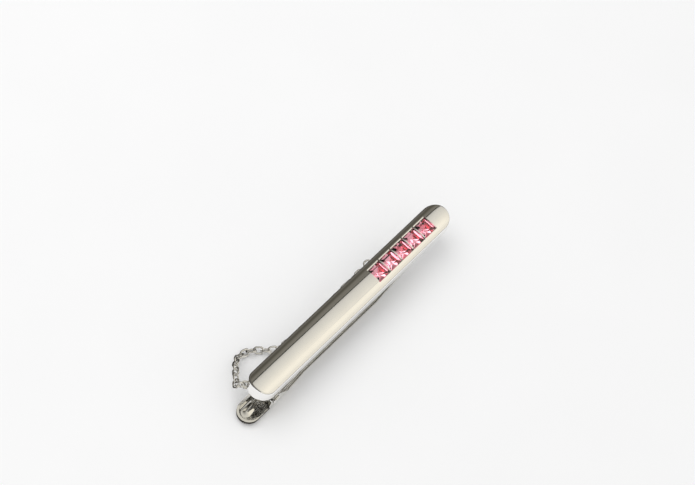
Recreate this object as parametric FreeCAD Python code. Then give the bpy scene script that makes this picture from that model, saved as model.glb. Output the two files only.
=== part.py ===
import FreeCAD, Part
import math
import os

from FreeCAD import Placement, Rotation, Vector

# Tie clip: domed bar with a row of square stones, sprung jaw below it, and a chain with a cross bar.
# X runs along the bar from the hinge end, Y across it, Z up. The pin's axis crosses X = 0 and the
# jaw's flat underside lies on Z = 0.

# Cuts run this far past the faces that they open
overrun = 1.0

# Domed bar
bar_length = 56.0
bar_width = 6.0
bar_wall_height = 2.1
bar_dome_rise = 0.9
bar_edge_round = 0.3
bar_end_lean = 0.4
bar_behind_pin = 4.0
bar_underside_height = 5.8

# Stones and their pockets
stone_count = 5
stone_width = 3.1
stone_crown = 0.5
stone_girdle = 0.12
stone_pavilion = 1.35
stone_clearance = 0.03
stone_divider = 0.28
stone_table_drop = 0.06
stone_row_from_end = 4.7
table_share = 0.6
crown_break_share = 0.84
crown_break_rise_share = 0.52
pavilion_break_share = 0.5
pavilion_break_depth_share = 0.62

# Hinge, set to one side of the bar's middle to leave room for the chain
hinge_offset = -0.7

# Hinge pin
pin_radius = 0.6
pin_height = 3.2
pin_head_radius = 0.95
pin_head_thickness = 0.3
pin_head_bevel = 0.15
pin_clearance = 0.03
pin_end_play = 0.05

# Hinge bracket, soldered under the bar
bracket_sheet = 0.4
bracket_half_width = 1.75
bracket_rear = 3.3
bracket_front = 2.4
bracket_corner_round = 1.2
bracket_ear_radius = 1.2
chain_tab_radius = 0.78
chain_hole_radius = 0.42
chain_hole_clear = 0.3
chain_tab_heading_deg = 128.0

# Pressed jaw
jaw_sheet = 0.5
jaw_side_play = 0.1
jaw_tail_reach = 7.2
jaw_tail_rim = 1.5
jaw_flange = 1.05
jaw_ear_radius = 1.5
jaw_ear_rear = 2.0
jaw_ear_front = 4.0
jaw_taper_end = 9.0
jaw_front_half_width = 1.9
jaw_ramp_length = 14.0
jaw_tip_setback = 8.0
jaw_tip_rise = 4.25
jaw_tip_gap = 0.06
jaw_bend_round = 0.85
tooth_count = 4
tooth_pitch = 1.1
tooth_depth = 0.5

# Torsion spring round the pin
spring_wire = 0.35
spring_wire_sides = 12
spring_bore_play = 0.25
spring_pitch = 0.82
spring_full_turns = 2
spring_leg_slope_deg = 25.0
spring_seat_gap = 0.05

# Cable chain and its jump rings
chain_wire = 0.4
link_length = 2.3
link_width = 1.7
link_slack = 0.09
ring_radius = 0.95
ring_dip_deg = 15.0
first_link_dip_deg = 45.0
first_link_heading_deg = 42.0
first_link_dive_deg = 10.0
wire_sides = 8
link_bend_steps = 6
chain_floor_gap = 0.02
resting_roll_deg = 45.0
standing_links = 4
quarter_turn_deg = 90.0
route_steps = 1000
route_halvings = 40

# Route of the chain: X in shares of the bar's length from the pin, Y in shares of its width,
# Z in shares of the drop from the ring to the resting plane
chain_drop_shares = (
    (-0.029, 1.01, 0.82),
    (-0.002, 1.23, 0.574),
    (0.021, 1.37, 0.228),
    (0.052, 1.42, 0.00),
    (0.086, 1.32, 0.00),
    (0.111, 1.10, 0.00),
    (0.136, 0.85, 0.00),
    (0.175, 0.625, 0.00),
)
chain_run_y_share = 0.625
chain_run_end_share = 0.42
chain_climb_share = 0.49
chain_end_share = 0.63

# Cross bar on the far end of the chain
button_length = 12.0
button_radius = 0.6
button_end_round = 0.4
button_eye_radius = 0.85
button_eye_hole = 0.45
button_eye_sheet = 0.5
button_link_clearance = 0.1

# Places worked out from the sizes above
bar_start = -bar_behind_pin
bar_end = bar_start + bar_length
bar_half_width = bar_width / 2
bar_shoulder = bar_underside_height + bar_wall_height
bar_top = bar_shoulder + bar_dome_rise
stone_half = stone_width / 2
stone_pitch = stone_width + 2 * stone_clearance + stone_divider
stone_seat = bar_top - stone_table_drop - stone_crown - stone_girdle
bracket_under = bar_underside_height - bracket_sheet
jaw_tail_half_width = bracket_half_width + jaw_side_play + jaw_sheet
jaw_tip = bar_end - jaw_tip_setback
jaw_ramp_start = jaw_tip - jaw_ramp_length
spring_radius = pin_radius + spring_bore_play + spring_wire / 2
link_end_radius = (link_width - chain_wire) / 2
link_straight = link_length - link_width
link_step = link_straight + 2 * link_end_radius - chain_wire - link_slack
wire_seat = (chain_wire + link_slack) / 2
chain_height = link_end_radius / math.sqrt(2) + chain_wire / 2 + chain_floor_gap
button_axis_height = button_radius + chain_floor_gap
button_eye_height = button_axis_height + button_radius + link_width / 2 + button_link_clearance

ALONG = Vector(1, 0, 0)
ACROSS = Vector(0, 1, 0)
UP = Vector(0, 0, 1)


def side_prism(points, half_width):
    """Outline of (x, z) points, extruded across the clip about its middle plane."""
    corners = [Vector(x, -half_width, z) for x, z in points]
    face = Part.Face(Part.makePolygon(corners + corners[:1]))
    return face.extrude(ACROSS * (2 * half_width))


def cross_cylinder(radius, x, z, half_width):
    """Cylinder across the clip about its middle plane."""
    return Part.makeCylinder(radius, 2 * half_width, Vector(x, -half_width, z), ACROSS)


def tangent_point(from_point, centre, radius, side):
    """Point where a line from outside touches a circle, on the side given as 1 or -1."""
    dx = from_point[0] - centre[0]
    dz = from_point[1] - centre[1]
    turn = math.atan2(dz, dx) + side * math.acos(radius / math.hypot(dx, dz))
    return centre[0] + radius * math.cos(turn), centre[1] + radius * math.sin(turn)


def stone_solid(half, crown, girdle, pavilion):
    """Square faceted stone about the Z axis, with the lower edge of its girdle on Z = 0."""
    signs = ((1, 1), (-1, 1), (-1, -1), (1, -1))

    def ring(share, z):
        return [Vector(half * share * sx, half * share * sy, z) for sx, sy in signs]

    low = ring(1, 0)
    high = ring(1, girdle)
    crown_break = ring(crown_break_share, girdle + crown * crown_break_rise_share)
    table = ring(table_share, girdle + crown)
    pavilion_break = ring(pavilion_break_share, -pavilion * pavilion_break_depth_share)
    culet = Vector(0, 0, -pavilion)
    outlines = [table]
    for k in range(4):
        n = (k + 1) % 4
        low_middle = (low[k] + low[n]) / 2
        high_middle = (high[k] + high[n]) / 2
        outlines += [
            [low[k], low_middle, low[n], high[n], high_middle, high[k]],
            [high[k], high_middle, crown_break[k]],
            [high_middle, high[n], crown_break[n]],
            [high_middle, table[k], crown_break[k]],
            [high_middle, crown_break[n], table[n]],
            [high_middle, table[n], table[k]],
            [low[k], pavilion_break[k], low_middle],
            [low_middle, pavilion_break[n], low[n]],
            [low_middle, pavilion_break[k], culet],
            [low_middle, culet, pavilion_break[n]],
        ]
    facets = [Part.Face(Part.makePolygon(points + points[:1])) for points in outlines]
    return Part.Solid(Part.Shell(facets))


def stone_places():
    """Centres of the stones' girdles along the bar."""
    last = bar_end - stone_row_from_end - stone_half - stone_clearance
    return [Vector(last - k * stone_pitch, 0, stone_seat) for k in reversed(range(stone_count))]


def stones():
    """Stones seated in their pockets."""
    return [
        stone_solid(stone_half, stone_crown, stone_girdle, stone_pavilion).translated(place)
        for place in stone_places()
    ]


def stone_pocket():
    """Cut for one stone: its own pavilion and girdle with clearance, open to the top."""
    half = stone_half + stone_clearance
    seat = stone_solid(half, stone_crown, stone_girdle, stone_pavilion + stone_clearance)
    mouth = Part.makeBox(2 * half, 2 * half, bar_top - stone_seat + overrun, Vector(-half, -half, 0))
    return seat.fuse(mouth).translated(Vector(0, 0, -stone_clearance))


def bar_outline(height, lean):
    """Outline of the bar at a height, with its hinge end drawn in by a lean."""
    left = bar_start + bar_half_width
    right = bar_end - bar_half_width
    h = bar_half_width
    tip = Vector(bar_start + lean, 0, height)
    side = Vector(left, h, height)
    if lean:
        ellipse = Part.Ellipse(side, tip, Vector(left, 0, height))
        hinge_end = Part.ArcOfEllipse(ellipse, 0, math.pi)
    else:
        hinge_end = Part.Arc(side, tip, Vector(left, -h, height))
    return Part.Wire([
        Part.LineSegment(Vector(left, -h, height), Vector(right, -h, height)).toShape(),
        Part.Arc(Vector(right, -h, height), Vector(bar_end, 0, height), Vector(right, h, height)).toShape(),
        Part.LineSegment(Vector(right, h, height), side).toShape(),
        hinge_end.toShape(),
    ])


def top_bar():
    """Bar with round ends and a domed face, with a row of stone pockets."""
    h = bar_half_width
    base = bar_underside_height
    plan_height = bar_wall_height + bar_dome_rise + overrun
    lean = bar_end_lean * plan_height / bar_wall_height
    plan = Part.makeLoft([bar_outline(base, 0), bar_outline(base + plan_height, lean)], True, True)
    corners = ((h, bar_shoulder), (h, base), (-h, base), (-h, bar_shoulder))
    lower = [Vector(bar_start, y, z) for y, z in corners]
    dome = Part.Arc(lower[3], Vector(bar_start, 0, bar_top), lower[0])
    section = Part.Wire(Part.makePolygon(lower).Edges + [dome.toShape()])
    bar = Part.Face(section).extrude(ALONG * bar_length).common(plan)
    rim = [edge for edge in bar.Edges if edge.BoundBox.ZMin > bar_underside_height + bar_wall_height / 2]
    bar = bar.makeFillet(bar_edge_round, rim)
    for place in stone_places():
        bar = bar.cut(stone_pocket().translated(place))
    return bar


def heading(degrees):
    """Level direction at an angle from the bar's length."""
    return Vector(math.cos(math.radians(degrees)), math.sin(math.radians(degrees)), 0)


def end_centre():
    """Middle of the bar's round hinge end, halfway through the bracket's plate."""
    return Vector(bar_start + bar_half_width, 0, bracket_under + bracket_sheet / 2)


def chain_hole_centre():
    """Middle of the hole in the bracket's chain tab, just outside the bar's round end."""
    return end_centre() + heading(chain_tab_heading_deg) * (bar_half_width + chain_hole_clear)


def hinge_bracket():
    """Plate with two ears for the pin and a side tab for the chain."""
    half = bracket_half_width
    aside = ACROSS * hinge_offset
    plate = Part.makeBox(
        bracket_rear + bracket_front, 2 * half, bracket_sheet, Vector(-bracket_rear, -half, bracket_under)
    )
    rear_corners = [
        edge for edge in plate.Edges if edge.BoundBox.XMax < 0 and edge.BoundBox.ZLength > bracket_sheet / 2
    ]
    plate = plate.makeFillet(bracket_corner_round, rear_corners)
    tab_base = chain_hole_centre() - UP * (bracket_sheet / 2)
    root = end_centre() - UP * (bracket_sheet / 2)
    side = UP.cross(heading(chain_tab_heading_deg)) * chain_tab_radius
    strip = [root + side, root - side, tab_base - side, tab_base + side]
    neck = Part.Face(Part.makePolygon(strip + strip[:1])).extrude(UP * bracket_sheet)
    tab = Part.makeCylinder(chain_tab_radius, bracket_sheet, tab_base)
    ear_sides = [
        (-bracket_ear_radius, pin_height),
        (bracket_ear_radius, pin_height),
        (bracket_front, bracket_under + bracket_sheet / 2),
        (-bracket_front, bracket_under + bracket_sheet / 2),
    ]
    ears = side_prism(ear_sides, half).fuse(cross_cylinder(bracket_ear_radius, 0, pin_height, half))
    between = Part.makeBox(
        bracket_rear + bracket_front,
        2 * (half - bracket_sheet),
        bracket_under,
        Vector(-bracket_rear, bracket_sheet - half, 0),
    )
    pin_hole = cross_cylinder(pin_radius + pin_clearance, 0, pin_height, half + overrun)
    hinge = plate.fuse(ears.cut(between)).cut(pin_hole).translated(aside)
    bracket = hinge.fuse([neck, tab]).removeSplitter()
    chain_hole = Part.makeCylinder(
        chain_hole_radius, bracket_sheet + 2 * overrun, tab_base - UP * overrun
    )
    return bracket.cut(chain_hole)


def hinge_pin():
    """Riveted pin with a low round head at each end."""
    shank = jaw_tail_half_width + pin_end_play
    pin = cross_cylinder(pin_radius, 0, pin_height, shank)
    for side in (-1, 1):
        head = Part.makeCylinder(
            pin_head_radius, pin_head_thickness, Vector(0, side * shank, pin_height), ACROSS * side
        )
        outer = [edge for edge in head.Edges if abs(edge.BoundBox.Center.y) > shank + pin_head_thickness / 2]
        pin = pin.fuse(head.makeChamfer(pin_head_bevel, outer))
    return pin.removeSplitter().translated(ACROSS * hinge_offset)


def jaw_plan(tail_half, front_half, front_end):
    """Jaw's outline from above, round at the tail, as a prism taller than the jaw."""
    centre = jaw_tail_half_width - jaw_tail_reach
    low = -overrun
    tail = Part.Arc(
        Vector(centre, tail_half, low), Vector(centre - tail_half, 0, low), Vector(centre, -tail_half, low)
    )
    sides = Part.makePolygon([
        Vector(centre, -tail_half, low),
        Vector(jaw_ear_front, -tail_half, low),
        Vector(jaw_taper_end, -front_half, low),
        Vector(front_end, -front_half, low),
        Vector(front_end, front_half, low),
        Vector(jaw_taper_end, front_half, low),
        Vector(jaw_ear_front, tail_half, low),
        Vector(centre, tail_half, low),
    ])
    outline = Part.Wire([tail.toShape()] + sides.Edges)
    return Part.Face(outline).extrude(UP * (bar_underside_height + overrun))


def jaw_side():
    """Jaw's outline from the side: tail rim, hinge ears, low flanges, ramp and teeth."""
    rear = -jaw_tail_reach - overrun
    tooth_top = bar_underside_height - jaw_tip_gap
    teeth = [(jaw_tip, tooth_top - tooth_depth)]
    for k in range(tooth_count):
        front = jaw_tip - k * tooth_pitch
        teeth.append((front - tooth_pitch / 2, tooth_top))
        teeth.append((front - tooth_pitch, tooth_top - tooth_depth))
    strip = [(rear, 0), (jaw_ramp_start, 0), (jaw_tip, jaw_tip_rise)] + teeth + [
        (jaw_ramp_start, jaw_flange),
        (jaw_ear_front, jaw_flange),
        (-jaw_ear_rear, jaw_tail_rim),
        (rear, jaw_tail_rim),
    ]
    pin_place = (0, pin_height)
    ear = [
        (-jaw_ear_rear, 0),
        (jaw_ear_front, 0),
        (jaw_ear_front, jaw_flange),
        tangent_point((jaw_ear_front, jaw_flange), pin_place, jaw_ear_radius, 1),
        tangent_point((-jaw_ear_rear, jaw_tail_rim), pin_place, jaw_ear_radius, -1),
        (-jaw_ear_rear, jaw_tail_rim),
    ]
    half = jaw_tail_half_width + overrun
    disc = cross_cylinder(jaw_ear_radius, *pin_place, half)
    return side_prism(strip, half).fuse([side_prism(ear, half), disc])


def bend_edges(blank):
    """Lower edges along the sides and the tail, where the sheet is bent up."""
    under = [face for face in blank.Faces if face.normalAt(0, 0).z < -math.sqrt(0.5)]
    return [
        edge for face in under for edge in face.Edges
        if max(abs(edge.BoundBox.YMin), abs(edge.BoundBox.YMax)) > jaw_front_half_width / 2
        and edge.BoundBox.XLength > jaw_sheet
    ]


def jaw_channel():
    """Space between the jaw's flanges, above its web."""
    slope = math.atan2(jaw_tip_rise, jaw_tip - jaw_ramp_start)
    bend = jaw_ramp_start - jaw_sheet * math.tan(slope / 2)
    past_tip = jaw_tip + overrun
    ramp_top = jaw_sheet / math.cos(slope) + (past_tip - jaw_ramp_start) * math.tan(slope)
    ceiling = bar_underside_height + overrun
    rear = -jaw_tail_reach - overrun
    floor = [(rear, jaw_sheet), (bend, jaw_sheet), (past_tip, ramp_top)]
    space = floor + [(past_tip, ceiling), (rear, ceiling)]
    inner = jaw_plan(jaw_tail_half_width - jaw_sheet, jaw_front_half_width - jaw_sheet, past_tip)
    channel = side_prism(space, jaw_tail_half_width).common(inner)
    return channel.makeFillet(jaw_bend_round - jaw_sheet, bend_edges(channel))


def clip_jaw():
    """Pressed sheet lever: dished tail, hinge ears, low channel and toothed tip."""
    blank = jaw_plan(jaw_tail_half_width, jaw_front_half_width, jaw_tip).common(jaw_side()).removeSplitter()
    blank = blank.makeFillet(jaw_bend_round, bend_edges(blank))
    pin_hole = cross_cylinder(pin_radius + pin_clearance, 0, pin_height, jaw_tail_half_width + overrun)
    return blank.cut(jaw_channel()).cut(pin_hole).translated(ACROSS * hinge_offset)


def arc_pair(start, start_way, end, end_way):
    """Two tangent arcs from one point and direction to another."""
    chord = end - start
    ways = start_way + end_way
    spread = 2 * (1 - start_way.dot(end_way))
    reach = (math.sqrt(chord.dot(ways) ** 2 + spread * chord.dot(chord)) - chord.dot(ways)) / spread
    first_corner = start + start_way * reach
    second_corner = end - end_way * reach
    join = (first_corner + second_corner) / 2
    arcs = []
    for a, corner, b in ((start, first_corner, join), (join, second_corner, end)):
        weight = a.distanceToPoint(b) / 2 / reach
        middle = (a + corner * (2 * weight) + b) / (2 + 2 * weight)
        arcs.append(Part.Arc(a, middle, b).toShape())
    return arcs


def spring_path():
    """Spring's centre line: a leg under the bracket, the coil, and a leg on the jaw's tail."""
    slope = math.radians(spring_leg_slope_deg)
    sweep = math.pi - 2 * slope + spring_full_turns * 2 * math.pi
    quarters = 2 + 4 * spring_full_turns
    rise = spring_pitch / (2 * math.pi)
    half_coil = sweep * rise / 2

    def coil(step):
        turn = sweep * step / quarters
        angle = math.pi / 2 - slope - turn
        height = pin_height + spring_radius * math.sin(angle)
        place = Vector(spring_radius * math.cos(angle), turn * rise - half_coil, height)
        lead = 0 if step in (0, quarters) else rise
        way = Vector(spring_radius * math.sin(angle), lead, -spring_radius * math.cos(angle))
        return place, way.normalize()

    start, start_way = coil(0)
    end, end_way = coil(quarters)
    seat = spring_seat_gap + spring_wire / 2 * math.cos(slope)
    upper_leg = (bracket_under - seat - start.z) / math.sin(slope)
    lower_leg = (end.z - jaw_sheet - seat) / math.sin(slope)
    edges = [Part.LineSegment(start - start_way * upper_leg, start).toShape()]
    for step in range(quarters):
        edges += arc_pair(*coil(step), *coil(step + 1))
    edges.append(Part.LineSegment(end, end + end_way * lower_leg).toShape())
    return Part.Wire(edges)


def spring_self_gap(path):
    """Least gap between parts of the spring that lie over half a turn apart."""
    half_turn = math.pi * spring_radius
    spacing = spring_wire / 4
    count = int(path.Length / spacing)
    points = path.discretize(count)
    apart = int(half_turn / spacing)
    nearest = min(a.distanceToPoint(b) for k, a in enumerate(points) for b in points[k + apart:])
    return nearest - spring_wire


def torsion_spring():
    """Wound wire spring as one unbroken tube."""
    path = spring_path()
    start = path.Edges[0]
    place = start.valueAt(start.FirstParameter)
    upright = start.tangentAt(start.FirstParameter).cross(ACROSS)
    half = spring_wire / 2
    turns = [2 * math.pi * k / spring_wire_sides for k in range(spring_wire_sides)]
    corners = [place + ACROSS * (half * math.cos(t)) + upright * (half * math.sin(t)) for t in turns]
    section = Part.makePolygon(corners + corners[:1])
    print("least gap of the spring to itself, mm:", round(spring_self_gap(path), 3))
    return path.makePipeShell([section], True, False).translated(ACROSS * hinge_offset)


def wire_ring(radius, turn, shift):
    """Many-sided section of the chain's wire on a circle about Z that is shifted along Y."""
    out = Vector(math.cos(turn), math.sin(turn), 0)
    half = chain_wire / 2
    sides = [2 * math.pi * (k + 0.5) / wire_sides for k in range(wire_sides)]
    return [ACROSS * shift + out * (radius + half * math.cos(t)) + UP * (half * math.sin(t)) for t in sides]


def closed_wire(rings):
    """Closed loop of wire through sections in order, with a flat facet between neighbours."""
    facets = []
    for k, ring in enumerate(rings):
        before = rings[k - 1]
        for j in range(wire_sides):
            corners = [before[j], ring[j], ring[j - 1], before[j - 1]]
            facets.append(Part.Face(Part.makePolygon(corners + corners[:1])))
    return Part.Solid(Part.Shell(facets))


def link_solid():
    """Chain link about the origin, long along Y and flat in the XY plane."""
    rings = []
    for end in (0, 1):
        shift = (0.5 - end) * link_straight
        for step in range(link_bend_steps + 1):
            turn = math.pi * (end + step / link_bend_steps)
            rings.append(wire_ring(link_end_radius, turn, shift))
    return closed_wire(rings)


def ring_solid():
    """Closed jump ring about the origin, flat in the XY plane."""
    steps = 3 * link_bend_steps
    return closed_wire([wire_ring(ring_radius, 2 * math.pi * k / steps, 0) for k in range(steps)])


def placed(shape, centre, wide, long_way):
    """Copy of a flat shape, with its X and Y axes turned to two given directions."""
    copy = shape.copy()
    copy.Placement = Placement(centre, Rotation(wide, long_way, wide.cross(long_way), "XYZ"))
    return copy


def dipped(level_deg, dip_deg):
    """Direction at an angle from the bar's length, dipping below the level."""
    dip = math.radians(dip_deg)
    return heading(level_deg) * math.cos(dip) - UP * math.sin(dip)


def first_ring_centre():
    """Middle of the ring that hangs in the tab's hole."""
    return chain_hole_centre() + dipped(chain_tab_heading_deg, ring_dip_deg) * ring_radius


def chain_route():
    """Smooth line of the chain from the first ring to the cross bar's ring."""
    out = dipped(chain_tab_heading_deg, first_link_dip_deg)
    dive = dipped(first_link_heading_deg, first_link_dive_deg)
    start = first_ring_centre() + out * ring_radius - dive * wire_seat
    drop = start.z - chain_height
    run_y = chain_run_y_share * bar_width
    poles = [start, start + dive * link_step]
    for x_share, y_share, z_share in chain_drop_shares:
        poles.append(Vector(x_share * bar_length, y_share * bar_width, chain_height + z_share * drop))
    poles.append(Vector(chain_run_end_share * bar_length, run_y, chain_height))
    poles.append(Vector(chain_climb_share * bar_length, run_y, button_eye_height))
    poles.append(Vector(chain_end_share * bar_length, run_y, button_eye_height))
    degree = 2
    inner = len(poles) - degree
    curve = Part.BSplineCurve()
    knots = [k / inner for k in range(inner + 1)]
    multiplicities = [degree + 1] + [1] * (inner - 1) + [degree + 1]
    curve.buildFromPolesMultsKnots(poles, multiplicities, knots, False, degree)
    return curve


def chain_joints():
    """Points one link apart along the route, as many as it holds."""
    curve = chain_route()
    place = curve.FirstParameter
    joints = [curve.value(place)]
    while joints[-1].distanceToPoint(curve.value(curve.LastParameter)) > link_step:
        low = place
        high = place
        while curve.value(high).distanceToPoint(joints[-1]) < link_step:
            high = min(high + curve.LastParameter / route_steps, curve.LastParameter)
        for _ in range(route_halvings):
            middle = (low + high) / 2
            if curve.value(middle).distanceToPoint(joints[-1]) < link_step:
                low = middle
            else:
                high = middle
        place = high
        joints.append(curve.value(place))
    return joints


def chain_links(joints):
    """Links between the joints, each a quarter turn from the last, resting on their edges."""
    shape = link_solid()
    count = len(joints) - 1
    last_turn = -resting_roll_deg if count % 2 else resting_roll_deg
    links = []
    for k in range(count):
        way = (joints[k + 1] - joints[k]).normalize()
        level = UP.cross(way).normalize()
        standing = last_turn * max(0, (k + 1 + standing_links - count) / standing_links)
        roll = math.radians(quarter_turn_deg * k - resting_roll_deg + standing)
        wide = level * math.cos(roll) + way.cross(level) * math.sin(roll)
        links.append(placed(shape, (joints[k] + joints[k + 1]) / 2, wide, way))
    return links


def bar_jump_ring():
    """Ring through the bracket's tab, hanging in an upright plane."""
    return placed(ring_solid(), first_ring_centre(), UP, heading(chain_tab_heading_deg))


def button_eye_centre(last_joint):
    """Middle of the cross bar's eye."""
    return last_joint + ALONG * (2 * ring_radius - wire_seat)


def button_jump_ring(last_joint):
    """Level ring between the last link and the cross bar's eye."""
    return placed(ring_solid(), button_eye_centre(last_joint) - ALONG * ring_radius, ALONG, ACROSS)


def button_bar(last_joint):
    """Round cross bar with an upright eye at its middle."""
    eye = button_eye_centre(last_joint)
    rod = Part.makeCylinder(
        button_radius, button_length, Vector(eye.x - button_length / 2, eye.y, button_axis_height), ALONG
    )
    rims = [edge for edge in rod.Edges if edge.BoundBox.XLength < button_radius]
    rod = rod.makeFillet(button_end_round, rims)
    side = ACROSS * (button_eye_sheet / 2)
    eye_disc = Part.makeCylinder(button_eye_radius, button_eye_sheet, eye - side, ACROSS)
    stalk = Part.makeBox(
        button_radius * 2,
        button_eye_sheet,
        eye.z - button_axis_height,
        Vector(eye.x - button_radius, eye.y - button_eye_sheet / 2, button_axis_height),
    )
    hole = Part.makeCylinder(
        button_eye_hole, button_eye_sheet + 2 * overrun, eye - side - ACROSS * overrun, ACROSS
    )
    return rod.fuse([eye_disc, stalk]).cut(hole).removeSplitter()


def all_parts():
    """Every piece of the clip by its name."""
    joints = chain_joints()
    parts = {
        "top_bar": top_bar(),
        "hinge_bracket": hinge_bracket(),
        "hinge_pin": hinge_pin(),
        "clip_jaw": clip_jaw(),
        "torsion_spring": torsion_spring(),
        "bar_jump_ring": bar_jump_ring(),
        "button_jump_ring": button_jump_ring(joints[-1]),
        "button_bar": button_bar(joints[-1]),
    }
    for k, stone in enumerate(stones(), 1):
        parts[f"stone_{k}"] = stone
    for k, link in enumerate(chain_links(joints), 1):
        parts[f"chain_link_{k:02d}"] = link
    return parts


os.makedirs("parts", exist_ok=True)
for name, shape in all_parts().items():
    shape.exportStep(f"parts/{name}.step")
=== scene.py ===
import logging
import math
from abc import ABC, abstractmethod
from dataclasses import dataclass
from enum import Enum
from typing import Callable, ClassVar

import bmesh
import bpy
import numpy as np
from mathutils import Matrix, Vector


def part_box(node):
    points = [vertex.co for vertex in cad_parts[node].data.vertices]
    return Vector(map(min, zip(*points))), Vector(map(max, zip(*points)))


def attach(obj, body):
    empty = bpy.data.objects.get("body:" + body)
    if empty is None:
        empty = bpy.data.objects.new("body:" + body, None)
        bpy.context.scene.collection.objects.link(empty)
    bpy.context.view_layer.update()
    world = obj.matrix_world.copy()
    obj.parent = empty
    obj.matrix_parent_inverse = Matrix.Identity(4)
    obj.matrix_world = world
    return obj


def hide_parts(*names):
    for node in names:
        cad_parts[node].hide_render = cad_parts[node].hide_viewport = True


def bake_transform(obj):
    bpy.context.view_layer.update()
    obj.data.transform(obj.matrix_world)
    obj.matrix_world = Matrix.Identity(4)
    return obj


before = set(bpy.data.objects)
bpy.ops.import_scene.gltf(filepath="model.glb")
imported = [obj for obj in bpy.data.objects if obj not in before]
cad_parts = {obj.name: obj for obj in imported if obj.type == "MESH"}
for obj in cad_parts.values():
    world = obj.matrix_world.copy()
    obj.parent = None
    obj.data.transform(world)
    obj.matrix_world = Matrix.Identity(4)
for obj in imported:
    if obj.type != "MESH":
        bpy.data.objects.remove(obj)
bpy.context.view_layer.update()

# Sizes are in metres; MM turns the millimetres that a maker would write into metres
MM = 0.001
PHOTO_WIDTH = 695

# Points closer than this are at one place
MERGE = 0.0005 * MM
PLACE_DIGITS = 9

# Facets that turn by less than this are one flat
FLAT_DEG = 1.0

# Noise hardly leaves this range, which the finishes spread over their own
NOISE_LOW = 0.3
NOISE_HIGH = 0.7

# Bevels follow a round profile
ROUND = 0.5

log = logging.getLogger("tie_clip")
Colour = tuple[float, float, float]
Tones = tuple[tuple[float, Colour], ...]
Pieces = dict[str, bpy.types.Object]
Inputs = dict[str | int, object]


class Element(Enum):
    """What a selection in edit mode is made of."""

    POINT = "VERT"
    EDGE = "EDGE"
    FACE = "FACE"


class Slot(Enum):
    """Material slots of the record."""

    BAR = "polished_bar"
    JAW = "jaw_steel"
    HINGE = "hinge_metal"
    SPRING = "spring_steel"
    CHAIN = "chain_metal"
    STONE = "pink_stone"


class Body(Enum):
    """Bodies of the frame that pieces ride on."""

    BAR = "bar"
    JAW = "jaw"
    CHAIN = "chain"
    CROSS_BAR = "cross_bar"


class Axis(Enum):
    """Axes, with their place in a vector."""

    X = 0
    Y = 1
    Z = 2


def nodes_with(mark: str) -> list[str]:
    """Lists the nodes of the frame whose names hold a word, in order."""
    return [name for name in sorted(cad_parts) if mark in name]


def deselect_all() -> None:
    """Deselects every object, so that an operator acts on new work only."""
    bpy.ops.object.select_all(action="DESELECT")


def add_object(name: str, data: bpy.types.ID) -> bpy.types.Object:
    """Adds an object to the scene.

    Args:
        name: Object name.
        data: Its mesh, curve, lamp or camera.

    Returns:
        The added object.
    """
    item = bpy.data.objects.new(name, data)
    bpy.context.scene.collection.objects.link(item)
    return item


def take_new(name: str) -> bpy.types.Object:
    """Names the object that an operator has just added.

    Args:
        name: Piece name.

    Returns:
        The added object.
    """
    piece = bpy.context.active_object
    piece.name = name
    piece.data.name = name
    return piece


def make_active(piece: bpy.types.Object) -> None:
    """Makes a piece the only selected object and the active one.

    Args:
        piece: Object to work on.
    """
    deselect_all()
    piece.select_set(True)
    bpy.context.view_layer.objects.active = piece


def apply_placement() -> None:
    """Applies the placement of the selected object to its mesh."""
    bpy.ops.object.transform_apply(location=True, rotation=True, scale=True)


def edit(piece: bpy.types.Object) -> None:
    """Opens a piece in edit mode."""
    make_active(piece)
    bpy.ops.object.mode_set(mode="EDIT")


def done() -> None:
    """Goes back to object mode."""
    bpy.ops.object.mode_set(mode="OBJECT")


def add_ring(name: str, sides: int, radius: float, centre: tuple[float, float, float]) -> bpy.types.Object:
    """Adds a round line of points, turned by half a step so that none lies on its middle line.

    Args:
        name: Piece name.
        sides: Points on each half.
        radius: Radius of the line.
        centre: Its middle.

    Returns:
        New object, in edit mode.
    """
    deselect_all()
    bpy.ops.mesh.primitive_circle_add(
        vertices=2 * sides, radius=radius, location=centre, rotation=(0, 0, math.pi / (2 * sides))
    )
    piece = take_new(name)
    apply_placement()
    edit(piece)
    return piece


def pick(element: Element, test: Callable[..., bool]) -> None:
    """Selects parts of the piece in edit mode by their place or normal.

    Args:
        element: Kind of part to select.
        test: Takes a bmesh vertex, edge or face and says whether it is wanted.
    """
    bpy.ops.mesh.select_mode(type=element.value)
    bpy.ops.mesh.select_all(action="DESELECT")
    data = bpy.context.active_object.data
    mesh = bmesh.from_edit_mesh(data)
    mesh.normal_update()
    parts = {Element.POINT: mesh.verts, Element.EDGE: mesh.edges, Element.FACE: mesh.faces}[element]
    for part in parts:
        if test(part):
            part.select_set(True)
    mesh.select_flush_mode()
    bmesh.update_edit_mesh(data)


def pick_all() -> None:
    """Selects everything in edit mode."""
    bpy.ops.mesh.select_all(action="SELECT")


def reshape(change: Callable[[bmesh.types.BMVert], None]) -> None:
    """Moves the points of the piece in edit mode one by one.

    Args:
        change: Takes a bmesh vertex and moves it if it needs to.
    """
    data = bpy.context.active_object.data
    mesh = bmesh.from_edit_mesh(data)
    for point in mesh.verts:
        change(point)
    bmesh.update_edit_mesh(data)


def move(x: float = 0, y: float = 0, z: float = 0) -> None:
    """Moves what is selected in edit mode."""
    bpy.ops.transform.translate(value=(x, y, z))


def resize(x: float, y: float, z: float, centre: Vector) -> None:
    """Scales what is selected in edit mode about a point."""
    bpy.ops.transform.resize(value=(x, y, z), center_override=tuple(centre))


def extrude(x: float = 0, y: float = 0, z: float = 0) -> None:
    """Extrudes what is selected in edit mode."""
    bpy.ops.mesh.extrude_region_move(TRANSFORM_OT_translate={"value": (x, y, z)})


def inset(width: float, rings: int = 1) -> None:
    """Insets what is selected in edit mode, ring by ring."""
    for _ in range(rings):
        bpy.ops.mesh.inset(thickness=width)


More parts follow.
